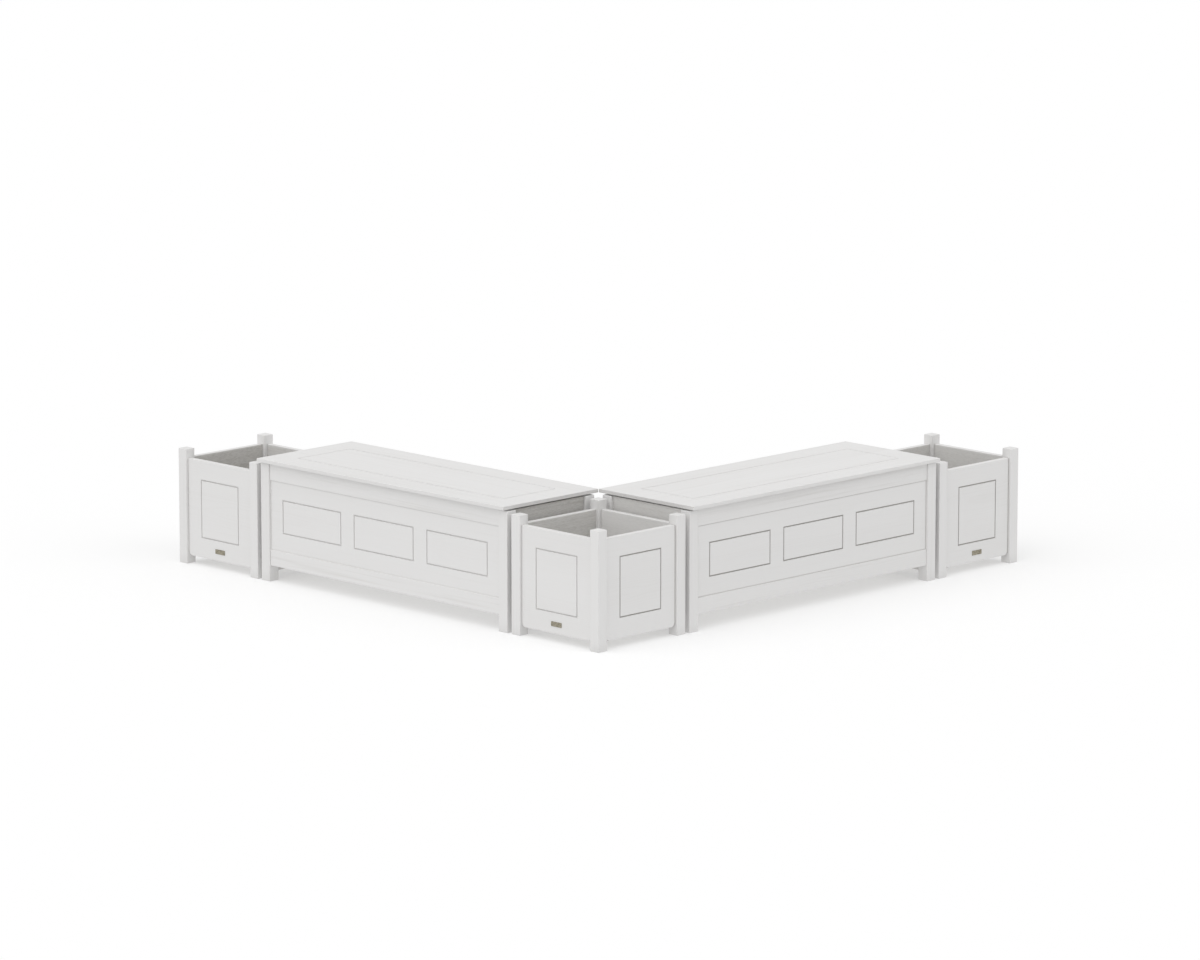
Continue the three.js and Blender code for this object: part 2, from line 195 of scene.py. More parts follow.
class BenchSetStage(bpy.types.PropertyGroup):
    """Camera, light and floor."""

    lens: number("Lens", "Focal length on a 36 mm sensor", 191.45, min=1.0, unit="CAMERA")
    camera_place: triple(
        "Camera place", "Where the camera stands", (-17.0187, -17.0179, 5.0117), subtype="XYZ",
        unit="LENGTH",
    )
    heading: bearing("Heading", "The camera's direction over the ground, from +X", 44.9845)
    pitch: bearing("Pitch", "How far the camera looks down", 11.02)
    ambient: amount("Ambient", "Light from all round", 0.672)
    key: amount("Key", "Light of the large lamp on the left", 0.998)
    key_angle: bearing("Key angle", "How wide the large lamp looks", 84.0)
    key_from: triple(
        "Key from", "Direction to the large lamp", (-0.691, -0.028, 0.721), subtype="DIRECTION"
    )
    fill: amount("Fill", "Light of the low lamp on the right", 0.375)
    fill_angle: bearing("Fill angle", "How wide the low lamp looks", 50.0)
    fill_from: triple(
        "Fill from", "Direction to the low lamp", (0.25, -0.83, 0.50), subtype="DIRECTION"
    )
    floor_size: length("Floor size", "Side of the floor", 160.0)
    floor_glow: amount("Floor glow", "Floor white that no shadow takes away", 0.308)
    floor_shade: amount("Floor shade", "Floor white that shadow takes away", 0.720)
    floor_bounce: amount("Floor bounce", "Light that the floor returns", 0.05)
    floor_lift: amount("Floor lift", "Light that the floor gives from below", 0.68)


GROUPS = {
    "boards": BenchSetBoards,
    "grooves": BenchSetGrooves,
    "fasteners": BenchSetFasteners,
    "wear": BenchSetWearAndShade,
    "finishes": BenchSetFinishes,
    "stage": BenchSetStage,
}


def chosen(group):
    """The values of a property group."""
    return getattr(bpy.context.scene, f"bench_set_{group}")


# Shader maths

class Wire:
    """A shader socket. Each operator on it adds one Math node and gives its result."""

    def __init__(self, net, socket):
        self.net = net
        self.socket = socket

    def __add__(self, other):
        return self.net.maths("ADD", self, other)

    __radd__ = __add__

    def __sub__(self, other):
        return self.net.maths("SUBTRACT", self, other)

    def __rsub__(self, other):
        return self.net.maths("SUBTRACT", other, self)

    def __mul__(self, other):
        return self.net.maths("MULTIPLY", self, other)

    __rmul__ = __mul__

    def __pow__(self, other):
        return self.net.maths("POWER", self, other)


class Net:
    """The nodes of one material or world."""

    def __init__(self, owner):
        owner.use_nodes = True
        self.tree = owner.node_tree
        self.tree.nodes.clear()

    def node(self, kind, settings=None, inputs=None):
        """Any node: its type, its settings, and the values or links of its sockets."""
        made = self.tree.nodes.new(kind)
        for name, value in (settings or {}).items():
            setattr(made, name, value)
        for name, value in (inputs or {}).items():
            socket = made.inputs[name]
            if isinstance(value, Wire):
                self.tree.links.new(value.socket, socket)
            else:
                socket.default_value = value
        return made

    def out(self, made, name=0):
        """One output of a node, as a wire."""
        return Wire(self, made.outputs[name])

    def attribute(self, name, output="Fac"):
        """What the mesh carries at each point under that name."""
        return self.out(self.node("ShaderNodeAttribute", {"attribute_name": name}), output)

    def maths(self, operation, *values, clamp=False):
        """One Math node."""
        made = self.node(
            "ShaderNodeMath", {"operation": operation, "use_clamp": clamp}, dict(enumerate(values))
        )
        return self.out(made)

    def clamped(self, value):
        """A value held between 0 and 1."""
        return self.maths("ADD", value, 0.0, clamp=True)

    def ease(self, value, low, high, start=0.0, end=1.0):
        """A smooth step: start below low, end above high."""
        made = self.node(
            "ShaderNodeMapRange", {"interpolation_type": "SMOOTHSTEP"},
            {"Value": value, "From Min": low, "From Max": high, "To Min": start, "To Max": end},
        )
        return self.out(made)

    def blend(self, factor, first, second):
        """The first colour where the factor is 0, the second where it is 1."""
        made = self.node(
            "ShaderNodeMix", {"data_type": "RGBA", "clamp_factor": True},
            {0: factor, 6: first, 7: second},
        )
        return self.out(made, 2)

    def noise(self, vector, scales, detail=2.0, rough=0.5):
        """Noise whose grain is 1/scale metres long on each axis, from 0 to 1."""
        place = self.node("ShaderNodeVectorMath", {"operation": "MULTIPLY"}, {0: vector, 1: scales})
        made = self.node(
            "ShaderNodeTexNoise", None,
            {"Vector": self.out(place), "Scale": 1.0, "Detail": detail, "Roughness": rough},
        )
        return self.out(made, "Fac")

    def split(self, vector):
        """The three parts of a vector."""
        made = self.node("ShaderNodeSeparateXYZ", None, {0: vector})
        return [self.out(made, index) for index in range(3)]

    def joined(self, x, y, z):
        """A vector from its three parts."""
        return self.out(self.node("ShaderNodeCombineXYZ", None, {0: x, 1: y, 2: z}))

    def surface(self, shader, output="ShaderNodeOutputMaterial"):
        """The net's result."""
        self.node(output, None, {"Surface": self.out(shader)})

    def finish(self, tone, rough, height, relief, strength, details):
        """The result of a finish. relief is the metres from its height of 0 to that of 1."""
        bump = self.node(
            "ShaderNodeBump", None, {"Strength": strength, "Distance": relief, "Height": height}
        )
        self.surface(self.node(
            "ShaderNodeBsdfPrincipled", None,
            {"Base Color": tone, "Roughness": rough, "Normal": self.out(bump), **details},
        ))


def rgba(tone):
    """A colour with its alpha of 1."""
    return (tone[0], tone[1], tone[2], 1.0)


# Finishes. A noise's scales are per metre, first along the grain and then across it

RING_PITCH = 0.0055  # metres from one growth ring to the next
RING_WANDER = 0.045  # metres that the rings wander
GROUND_BAND = 0.045  # metres that dust rises above the ground
GROUND_DUST = 0.11  # how much dust covers the paint at the ground
GROOVE_SHADE = 0.30  # how much painted shade darkens a groove, in the dust colour
HIDDEN_SHADE = 0.05  # and painted shade on every hidden face
DEEP_SHADE = 0.08  # and more painted shade for each part past 1 of a hidden face's shade
SCUFF_DUST = 0.15  # how much dust lies in the scuffs of a hidden face
SCUFF_GROWTH = 0.35  # how much the scuffs grow with each such part
PAINT_RELIEF = 0.00035  # metres between the paint's low and high places
BRASS_RELIEF = 0.00006
STEEL_RELIEF = 0.00005
STEEL_STAIN = (0.30, 0.29, 0.27, 1.0)


def painted_wood(net, finishes, grain_axis=None):
    """Brushed white paint over wood. The grain runs along x of the board's own "grain" attribute,
    or along one axis of the Object coordinates for a frame node. The rings are the distance from
    the board's pith line, so a face shows long lines and an end shows arcs."""
    place = net.out(net.node("ShaderNodeTexCoord"), "Object")
    if grain_axis is None:
        grain = net.attribute("grain", "Vector")
        # groove: painted shade of grooves, joints and lid edges; hidden: single coat and painted
        # shade
        edge, groove, hidden, age = map(net.attribute, ("edge", "groove", "hidden", "age"))
        extra_shade = net.maths("MAXIMUM", hidden - 1.0, 0.0)
        coat_and_shade_share = net.clamped(hidden)
    else:
        axes = net.split(place)
        order = {0: (0, 1, 2), 1: (1, 0, 2)}[grain_axis]
        grain = net.joined(*[axes[axis] for axis in order])
        edge = groove = extra_shade = 0.0
        hidden = coat_and_shade_share = age = 1.0
    _, across, through = net.split(grain)

    wobble = net.noise(grain, (1.6, 5.0, 5.0))
    radius = (across * across + through * through) ** 0.5
    rings = net.maths("SINE", (radius + wobble * RING_WANDER) * (2 * math.pi / RING_PITCH))
    late_wood = net.ease(rings, 0.1, 1.0)
    fibres = net.noise(grain, (7.0, 420.0, 420.0), detail=3.0, rough=0.6)
    streaks = net.noise(grain, (1.7, 75.0, 75.0), detail=3.0, rough=0.55)
    drift = net.noise(grain, (0.9, 6.0, 6.0), detail=1.0)
    brush = net.noise(grain, (3.0, 700.0, 700.0), detail=1.0)
    rubbed = net.noise(grain, (22.0, 90.0, 90.0))
    scuffs = net.noise(grain, (60.0, 420.0, 420.0), detail=3.0, rough=0.6)
    speckle = net.noise(place, (900.0, 900.0, 900.0), detail=1.0)

    # How thin the paint is: along the streaks and fibres, over late wood, in patches, at edges
    thin = net.ease(streaks, 0.50, 0.82) * (age * 0.20 + hidden * 0.24)
    thin = thin + net.ease(fibres, 0.52, 0.80) * (0.10 + hidden * 0.10)
    thin = thin + late_wood * net.ease(drift, 0.35, 0.65) * 0.05
    thin = thin + net.ease(drift, 0.40, 0.75) * 0.06
    thin = thin + net.ease(rubbed, 0.48, 0.72) * edge * 0.16

    # Dust at the ground and in scuffs; painted shade in grooves, joints, lid edges, hidden faces
    ground = net.ease(net.split(place)[2], 0.0, GROUND_BAND, GROUND_DUST, 0.0)
    scuffed = net.ease(scuffs + streaks * 0.2, 0.45, 0.85) * (extra_shade * SCUFF_GROWTH + 1.0)
    dust_and_shade = ground * net.ease(speckle, 0.35, 0.65, 0.5, 1.0) + groove * GROOVE_SHADE
    dust_and_shade = dust_and_shade + (scuffed * SCUFF_DUST + extra_shade * DEEP_SHADE + HIDDEN_SHADE) * coat_and_shade_share

    # Hidden faces take the single coat, which also stands for painted shade there
    coat = net.blend(hidden, rgba(finishes.paint), rgba(finishes.undercoat_and_shade))
    paint = net.blend(net.clamped(thin), coat, rgba(finishes.thin_paint))
    paint = net.blend(net.clamped(dust_and_shade), paint, rgba(finishes.dust))
    rough = 0.50 + streaks * 0.10 + fibres * 0.06 + thin * 0.12
    height = fibres * 0.34 + streaks * 0.20 + late_wood * 0.16 + brush * 0.14 + speckle * 0.06
    details = {"IOR": 1.46, "Specular IOR Level": 0.42}
    net.finish(paint, rough, height, PAINT_RELIEF, 0.55, details)


def aged_brass(net, finishes):
    """Brushed brass with a darker patina in soft patches and fine scratches along the plate."""
    grain, edge = net.attribute("grain", "Vector"), net.attribute("edge")
    patches = net.noise(grain, (120.0, 160.0, 160.0), detail=3.0)
    scratches = net.noise(grain, (90.0, 5200.0, 900.0), detail=2.0, rough=0.7)
    pits = net.noise(grain, (2600.0, 2600.0, 2600.0), detail=1.0)
    dull = net.clamped(net.ease(patches, 0.38, 0.75) * 0.75 + (1 - edge) * 0.10 + scratches * 0.15)
    tone = net.blend(dull, rgba(finishes.brass), rgba(finishes.patina))
    rough = 0.30 + dull * 0.22 + scratches * 0.12
    height = scratches * 0.7 + pits * 0.3
    net.finish(tone, rough, height, BRASS_RELIEF, 0.4, {"Metallic": 1.0})


def brushed_steel(net, finishes, grain_axis):
    """Rolled stainless steel, brushed along one axis of the Object coordinates."""
    place = net.out(net.node("ShaderNodeTexCoord"), "Object")
    fine = [2600.0, 2600.0, 2600.0]
    fine[grain_axis] = 22.0
    brushing = net.noise(place, fine, detail=2.0, rough=0.65)
    inner_shades = net.noise(place, (46.0, 46.0, 46.0), detail=3.0)
    dull = net.ease(inner_shades, 0.42, 0.80) * 0.35 + brushing * 0.15
    tone = net.blend(dull, rgba(finishes.steel), STEEL_STAIN)
    rough = 0.24 + brushing * 0.16 + inner_shades * 0.10
    net.finish(tone, rough, brushing, STEEL_RELIEF, 0.35, {"Metallic": 1.0})


def finish_called(name, maker, *details):
    """The material of that name, made the first time it is asked for."""
    material = bpy.data.materials.get(name)
    if material is None:
        material = bpy.data.materials.new(name)
        maker(Net(material), chosen("finishes"), *details)
    return material


# Shapes

def edge_lines(low, high, easing, steps, wear):
    """Grid lines from low to high. Near each end they lie at easing * (1 - tan(angle)) for angles
    from 45 degrees to 0, which pulls them to equal arcs, with one line behind them, at 1.7 easing,
    to hold the flat face and one where the worn band stops."""
    angles = np.linspace(math.pi / 4, 0.0, steps + 1)
    near = np.concatenate([easing * (1 - np.tan(angles)), [1.7 * easing, wear]])
    near = near[near < (high - low) / 2]
    return np.concatenate([low + near, high - near])


def groove_profile(width, depth, lip, steps):
    """Half the section of a routed groove, as distances from its middle line and depths: a round
    bottom, which is h sin(a), depth - h + h cos(a) for angles up to 90 degrees with h at 0.985 of
    half the width, then an upright wall, then a lip of lip (1 - cos(b)), lip (1 - sin(b))."""
    half = 0.985 * width / 2
    bottom = np.linspace(0.0, math.pi / 2, steps + 1)
    turn = np.linspace(0.0, math.pi / 2, 3)
    across = np.concatenate([half * np.sin(bottom), width / 2 + lip * (1 - np.cos(turn))])
    down = np.concatenate([depth - half + half * np.cos(bottom), lip * (1 - np.sin(turn))])
    return across, down


def groove_lines(middle, size, profile):
    """Grid lines across the two grooves of a rectangle: middle +- size / 2 +- the profile's
    distances, and one line beside each lip, at 1.3 times the last of them."""
    across = np.append(profile[0], 1.3 * profile[0][-1])
    across = np.concatenate([-across, across])
    return np.concatenate([middle - size / 2 + across, middle + size / 2 + across])


def box_skin(lines):
    """The skin of a box on a lattice of lines: its points (n, 3) and its quads (m, 4), facing out.
    Points on a shared edge are shared. Each side is the plane where one lattice index is 0 or
    last."""
    counts = [len(values) for values in lines]
    index = np.indices(counts)
    last = np.reshape(counts, (3, 1, 1, 1)) - 1
    skin = ((index == 0) | (index == last)).any(axis=0)
    label = np.full(counts, -1)
    label[skin] = np.arange(skin.sum())
    points = np.stack([lines[axis][index[axis][skin]] for axis in range(3)], axis=1)
    quads = []
    for axis in range(3):
        for side in (0, -1):
            plane = np.take(label, side, axis=axis)
            corners = [plane[:-1, :-1], plane[1:, :-1], plane[1:, 1:], plane[:-1, 1:]]
            quad = np.stack([corner.ravel() for corner in corners], axis=1)
            outward = (side == -1) != (axis == 1)
            quads.append(quad if outward else quad[:, ::-1])
    return points, np.concatenate(quads)


def eased(points, low, high, easing):
    """Rounds a box skin: each point goes to the distance easing from the nearest point of the box
    that lies easing inside, along the line between them."""
    centre = np.clip(points, low + easing, high - easing)
    away = points - centre
    distance = np.linalg.norm(away, axis=1, keepdims=True)
    return centre + away * easing / np.maximum(distance, 1e-9)


def rectangle_depth(points, axes, fields, profile):
    """Depth of a routed groove at each point: the profile's depth at the larger of the distances
    past the sides of a rectangle, so that the corners come out mitred, and 0 beyond the lips."""
    result = np.zeros(len(points))
    for middle, size in fields:
        past = [np.abs(points[:, axis] - middle[k]) - size[k] / 2 for k, axis in enumerate(axes)]
        distance = np.abs(np.maximum(past[0], past[1]))
        result = np.maximum(result, np.interp(distance, profile[0], profile[1], right=0.0))
    return result


def mitre_turned(points, quads, axes, fields):
    """Turns the quads of two corners of each rectangle by one point, so that every quad at a corner
    splits along the mitre."""
    along, up = points[quads].mean(axis=1)[:, axes].T
    first = points[quads[:, 2]] - points[quads[:, 0]]
    rises = first[:, axes[0]] * first[:, axes[1]] > 0
    off = np.array([np.abs(along - middle[0]) for middle, _ in fields])
    nearest = off <= off.min(axis=0) + SAME_PLACE
    flip = np.zeros(len(quads), dtype=bool)
    for (middle, _), near in zip(fields, nearest):
        wants = (along - middle[0]) * (up - middle[1]) > 0
        flip |= near & (rises != wants)
    return np.where(flip[:, None], np.roll(quads, 1, axis=1), quads)


def round_foot(points, axis, low, high, floor, radius):
    """Rounds the two lower corners of an upright board: below floor + radius, its half width W
    becomes W - radius + sqrt(radius^2 - (radius - height)^2)."""
    middle, half = (low + high) / 2, (high - low) / 2
    height = np.clip(points[:, UP] - floor, 0.0, radius)
    width = half - radius + np.sqrt(radius**2 - (radius - height) ** 2)
    points[:, axis] = middle + (points[:, axis] - middle) * width / half


def wear_of(flat, low, high, grain_axis, front, dust, hidden=0.0, behind=1.0, side_dust=0.0,
            end_dust=0.0, age=1.0, seams=()):
    """What the paint reads at each point of a board's square skin. edge is 1 at an edge and 0 from
    the wear width on. hidden is the single coat and painted shade: behind on the front's reverse
    but for its edges, and at least hidden on every face. groove is the painted shade: the most of
    that given, that beside the ends of the axes in seams, and that on the sides and on the grain's
    ends. age is even."""
    wear = chosen("wear")
    inside = np.minimum(flat - low, high - flat)
    edge = np.clip(1 - np.sort(inside, axis=1)[:, 1] / wear.width, 0.0, 1.0)
    coat_and_shade_level = np.full(len(flat), hidden)
    if front:
        axis, sign = front
        reverse = np.abs(flat[:, axis] - (low if sign > 0 else high)[axis]) < SAME_PLACE
        # The reverse of this front looks to -Y, away from the large lamp: more painted shade there
        if front == FAR_FRONT:
            behind *= wear.minus_y_shade
        coat_and_shade_level[reverse] = np.maximum(behind * (1 - edge[reverse]), hidden)
    # Painted shade beside the joints at the ends of the axes in seams
    for axis in seams:
        seam = np.clip(1 - inside[:, axis] / wear.width, 0.0, 1.0)
        dust = np.maximum(dust, seam * wear.seam_shade)
    # A front facing -Y, away from the large lamp, gets more painted shade in grooves and joints
    if front == SHADED_FRONT:
        dust = dust * wear.minus_y_groove_shade
    # Painted shade on a board's long sides and on the ends of its grain
    on_face = inside < SAME_PLACE
    sides = on_face[:, [k for k in (0, 1) if k != grain_axis]].any(axis=1)
    dust = np.where(sides, np.maximum(dust, side_dust), dust)
    dust = np.where(on_face[:, grain_axis], np.maximum(dust, end_dust), dust)
    return {"edge": edge, "groove": dust, "hidden": coat_and_shade_level, "age": np.full(len(flat), age)}


def grain_of(points, low, high, grain_axis, seed):
    """The grain's own coordinates: along it, across the board and through it, from the board's
    middle and moved so that the rings' pith line lies at a place of its own near the board."""
    rng = np.random.default_rng(seed)
    spread = high - low
    others = sorted((k for k in range(3) if k != grain_axis), key=lambda k: -spread[k])
    pith = [rng.uniform(0.0, 40.0), rng.uniform(-0.08, 0.08), rng.uniform(0.04, 0.10)]
    return (points - (low + high) / 2)[:, [grain_axis, *others]] + pith


def board(low, high, easing, grain_axis, front=None, fields=(), foot=0.0, seed=0, **wear):
    """An eased board between two corners, with routed rectangles in its front, which is (axis,
    sign), and, where foot gives a radius, rounded lower corners. It gives points, quads and
    attributes."""
    sizes, grooves, worn = map(chosen, ("boards", "grooves", "wear"))
    profile = groove_profile(grooves.width, grooves.depth, grooves.lip, grooves.arc_steps)
    lines = [edge_lines(low[k], high[k], easing, sizes.arc_steps, worn.width) for k in range(3)]
    axes = [k for k in range(3) if front is not None and k != front[0]]
    for k, axis in enumerate(axes):
        for middle, size in fields:
            lines[axis] = np.append(lines[axis], groove_lines(middle[k], size[k], profile))
    if foot:
        arc = foot * (1 - np.cos(np.linspace(0.0, math.pi / 2, 3 * sizes.arc_steps + 1)))
        lines[UP] = np.append(lines[UP], low[UP] + arc[1:])
    lines = [np.unique(np.round(values, 7)) for values in lines]
    flat, quads = box_skin(lines)
    points = eased(flat, low, high, easing)

    groove = np.zeros(len(points))
    if fields:
        axis, sign = front
        on_front = np.abs(flat[:, axis] - (high if sign > 0 else low)[axis]) < SAME_PLACE
        groove = rectangle_depth(flat, axes, fields, profile) * on_front
        points[:, axis] -= sign * groove
        quads = mitre_turned(flat, quads, axes, fields)
    if foot:
        axis = next(k for k in axes if k != UP)
        round_foot(points, axis, low[axis], high[axis], low[UP], foot)
    # A groove's depth, as a share of the full depth, gives its painted shade
    attributes = wear_of(flat, low, high, grain_axis, front, groove / grooves.depth, **wear)
    attributes["grain"] = grain_of(points, low, high, grain_axis, seed)
    return points, quads.tolist(), attributes


def turned(places, front, profile, steps=12):
    """Turned pieces on a face, all in one mesh. The profile is a list of (radius, height) from the
    pole in front to the pole behind, and each ring is (radius cos(a), radius sin(a), height)."""
    across, other, out = plane_axes(front)
    angle = np.linspace(0.0, 2 * math.pi, steps, endpoint=False)
    radius, height = np.array(profile).T
    ring = (
        np.outer(radius[1:-1], np.cos(angle))[..., None] * across
        + np.outer(radius[1:-1], np.sin(angle))[..., None] * other
        + height[1:-1, None, None] * out
    ).reshape(-1, 3)
    piece = np.concatenate([ring, [out * height[0], out * height[-1]]])
    lattice = np.arange(len(ring)).reshape(-1, steps)
    after = np.roll(lattice, -1, axis=1)
    sides = np.stack([lattice[:-1], lattice[1:], after[1:], after[:-1]], axis=-1).reshape(-1, 4)
    pole = np.full(steps, len(ring))
    points = (places[:, None] + piece).reshape(-1, 3)
    shift = np.arange(len(places))[:, None, None] * len(piece)
    faces = (sides + shift).reshape(-1, 4).tolist()
    for fan in ((pole, lattice[0], after[0]), (pole + 1, after[-1], lattice[-1])):
        faces += (np.stack(fan, axis=1) + shift).reshape(-1, 3).tolist()
    return points, faces


def dome(radius, height, rings=4):
    """The profile of a round head: a cap of height (1 - r^2), and a shank that goes on behind
    it."""
    cap = [(radius * r, height * (1 - r * r)) for r in np.linspace(0.0, 1.0, rings + 1)]
    return [*cap, (radius, -height), (0.0, -height)]


def add_piece(name, points, faces, attributes, material, body="stand", node=None):
    """Puts a surface into the scene as one piece of the object, on the body that carries it."""
    mesh = bpy.data.meshes.new(name)
    mesh.from_pydata(points.tolist(), [], faces)
    for key, values in attributes.items():
        kind, field = ("FLOAT_VECTOR", "vector") if values.ndim == 2 else ("FLOAT", "value")
        layer = mesh.attributes.new(key, kind, "POINT")
        layer.data.foreach_set(field, values.astype(np.float32).ravel())
    mesh.shade_smooth()
    mesh.set_sharp_from_angle(angle=SHARP)
    mesh.materials.append(material)
    piece = bpy.data.objects.new(name, mesh)
    bpy.context.collection.objects.link(piece)
    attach(piece, body)
    if node:
        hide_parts(node)


def seed_of(name):
    """A number that stays the same for a name."""
    return sum((place + 1) * ord(letter) for place, letter in enumerate(name))


def node_box(node):
    """The two corners of a node's box."""
    return np.array(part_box(node))


def upright(node):
    """An upright board's box, its front, which is the (axis, sign) of the face that looks away from
    the middle of its unit's floor, and the level axis along it."""
    low, high = node_box(node)
    floor = node_box("_".join(node.split("_")[:2]) + "_floor")
    away = (low + high) / 2 - floor.mean(axis=0)
    axis = int(np.argmin((high - low)[:2]))
    return low, high, (axis, int(np.sign(away[axis]))), 1 - axis


def add_board(node, low, high, easing, grain_axis, body="stand", **details):
    """A painted board that takes the place of a node."""
    points, faces, attributes = board(low, high, easing, grain_axis, seed=seed_of(node), **details)
    paint = finish_called("brushed_paint", painted_wood)
    add_piece(f"painted_{node}", points, faces, attributes, paint, body, node)


def add_uprights(units, piece):
    """The four square posts or legs of each unit."""
    for unit in units:
        for side in SIDES:
            node = f"{unit}_{piece}_{side}"
            add_board(node, *node_box(node), chosen("boards").post_easing, UP)


def coat_node(node, material):
    """Gives a node of the frame its finish."""
    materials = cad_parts[node].data.materials
    materials.clear()
    materials.append(material)


# Operators

class BENCHSET_OT_planter_posts(bpy.types.Operator):
    """Four square posts on each planter, eased on every edge"""

    bl_idname = "bench_set.planter_posts"
    bl_label = "Planter Posts"

    def execute(self, context):
        add_uprights(PLANTERS, "post")
        return {"FINISHED"}


class BENCHSET_OT_planter_panels(bpy.types.Operator):
    """Four panels on each planter, each with a routed rectangle and two rounded lower corners"""

    bl_idname = "bench_set.planter_panels"
    bl_label = "Planter Panels"

    def execute(self, context):
        sizes, grooves, wear = map(chosen, ("boards", "grooves", "wear"))
        size = (grooves.planter_width, grooves.planter_height)
        # More painted shade on the left planter's inner -Y face, less on the corner's inner -X face
        inner_shades = {
            ("left_planter", FAR_FRONT): wear.left_shade,
            ("corner_planter", (0, 1)): wear.corner_shade,
        }
        for planter in PLANTERS:
            for side in SIDES:
                node = f"{planter}_panel_{side}"
                low, high, front, run = upright(node)
                low[run] += sizes.tongue
                high[run] -= sizes.tongue
                middle = (low + high) / 2
                middle[UP] += sizes.panel_rise
                high[UP] += sizes.panel_rise
                # Painted shade in the groove, at the joints with the posts and on the inner face
                add_board(
                    node, low, high, sizes.board_easing, run, front=front,
                    fields=[((middle[run], middle[UP]), size)], foot=sizes.foot_radius,
                    age=wear.planter_age, seams=(run,), behind=inner_shades.get((planter, front), 1.0),
                )
        return {"FINISHED"}


class BENCHSET_OT_plates(bpy.types.Operator):
    """A bare brass plate on one panel of each planter, held by two pins"""

    bl_idname = "bench_set.plates"
    bl_label = "Plates"

    def execute(self, context):
        sizes = chosen("fasteners")
        brass = finish_called("aged_brass", aged_brass)
        for planter in PLANTERS:
            node = f"{planter}_plate"
            low, high, front, run = upright(node)
            points, faces, attributes = plate(low, high, front, sizes.plate_radius)
            add_piece(f"bare_{node}", points, faces, attributes, brass, node=node)
            places = inset_pair(low, high, run, sizes.pin_inset)
            places[:, front[0]] = (low if front[1] < 0 else high)[front[0]]
            points, faces = turned(places, front, dome(sizes.pin_radius, sizes.pin_height))
            attributes = {"grain": points, "edge": np.ones(len(points))}
            add_piece(f"{node}_pins", points, faces, attributes, brass)
        return {"FINISHED"}


def plane_axes(front):
    """Two directions in a face and the one out of it, in a right-handed order."""
    out = np.zeros(3)
    out[front[0]] = front[1]
    other = np.array([0.0, 1.0, 0.0] if front[0] == UP else [0.0, 0.0, 1.0])
    across = np.cross(other, out)
    return across, other, out


def inset_pair(low, high, axis, inset):
    """Two places in the middle of a box, each that inset from an end of one axis."""
    places = np.array([(low + high) / 2] * 2)
    places[:, axis] = low[axis] + inset, high[axis] - inset
    return places


# A plate's rings from its back to its face: the height as a share of the thickness, then how far in
# from the outline, in metres
PLATE_RINGS = ((-0.5, 0.0), (0.2, 0.0), (0.5, 0.0003), (0.5, 0.0007))


def plate(low, high, front, radius, steps=12):
    """A thin plate with rounded corners and an eased rim. Each ring is a rounded rectangle: the
    corner of an inner rectangle plus the ring's reach times (cos(a), sin(a)), with a quarter turn
    of a at each corner. The rings go up the side and in over the rim, and flat faces close both
    ends."""
    across, other, out = plane_axes(front)
    middle = (low + high) / 2
    half = np.abs([across @ (high - low), other @ (high - low)]) / 2 - radius
    thickness = (high - low)[front[0]]
    angle = np.linspace(0.0, math.pi / 2, steps) + np.arange(4)[:, None] * math.pi / 2
    corner = np.array([(1, 1), (-1, 1), (-1, -1), (1, -1)])[:, None, :] * half
    turn = np.stack([np.cos(angle), np.sin(angle)], axis=-1)
    share, inset = np.array(PLATE_RINGS).T
    reach, height = radius - inset, share * thickness
    outline = (corner + reach[:, None, None, None] * turn).reshape(len(reach), -1, 2)
    local = outline[..., :1] * across + outline[..., 1:] * other + height[:, None, None] * out
    points = (middle + local).reshape(-1, 3)
    lattice = np.arange(len(points)).reshape(len(reach), -1)
    after = np.roll(lattice, -1, axis=1)
    sides = np.stack([lattice[:-1], after[:-1], after[1:], lattice[1:]], axis=-1).reshape(-1, 4)
    faces = [*sides.tolist(), lattice[-1].tolist(), lattice[0][::-1].tolist()]
    local = local.reshape(-1, 3)
    grain = np.stack([local @ across, local @ other, local @ out], axis=1) + np.abs(middle)
    return points, faces, {"grain": grain, "edge": np.ones(len(points))}


class BENCHSET_OT_bench_legs(bpy.types.Operator):
    """Four square legs on each bench, eased on every edge"""

    bl_idname = "bench_set.bench_legs"
    bl_label = "Bench Legs"

    def execute(self, context):
        add_uprights(BENCHES, "leg")
        return {"FINISHED"}


class BENCHSET_OT_rails(bpy.types.Operator):
    """The upper and lower rail on the front of each bench, and the buttons that the lid rests on"""

    bl_idname = "bench_set.rails"
    bl_label = "Front Rails"

    def execute(self, context):
        sizes = chosen("boards")
        age = chosen("wear").rail_age
        for bench in BENCHES:
            frame_top = node_box(f"{bench}_leg_1")[1][UP]
            for place in ("top", "bottom"):
                node = f"{bench}_front_{place}_rail"
                low, high, front, run = upright(node)
                button_top = high[UP]
                high[UP] = min(high[UP], frame_top)
                if place == "top":
                    low[UP] = high[UP] - sizes.rail_height
                else:
                    high[UP] = low[UP] + sizes.rail_height
                add_board(node, low, high, sizes.board_easing, run, front=front, age=age)
                if button_top > frame_top:
                    self.add_buttons(bench, low, high, run, button_top)
        return {"FINISHED"}

    def add_buttons(self, bench, low, high, run, top):
        """A round button near each end of the top rail: a flat disc with a quarter-round rim."""
        sizes = chosen("fasteners")
        places = inset_pair(low, high, run, sizes.button_inset)
        places[:, UP] = high[UP]
        radius, height, rim = sizes.button_radius, top - high[UP], sizes.button_rim
        angle = np.linspace(0.0, math.pi / 2, 4)
        rounded = zip(radius - rim + rim * np.sin(angle), height - rim + rim * np.cos(angle))
        profile = [(0.0, height), *rounded, (radius, -rim), (0.0, -rim)]
        points, faces = turned(places, (UP, 1), profile, steps=24)
        # The buttons sit under the lid: hidden at 1 gives them the single coat and painted shade
        attributes = {key: np.ones(len(points)) for key in ("edge", "hidden", "age")}
        attributes["grain"] = points
        paint = finish_called("brushed_paint", painted_wood)
        add_piece(f"{bench}_buttons", points, faces, attributes, paint)


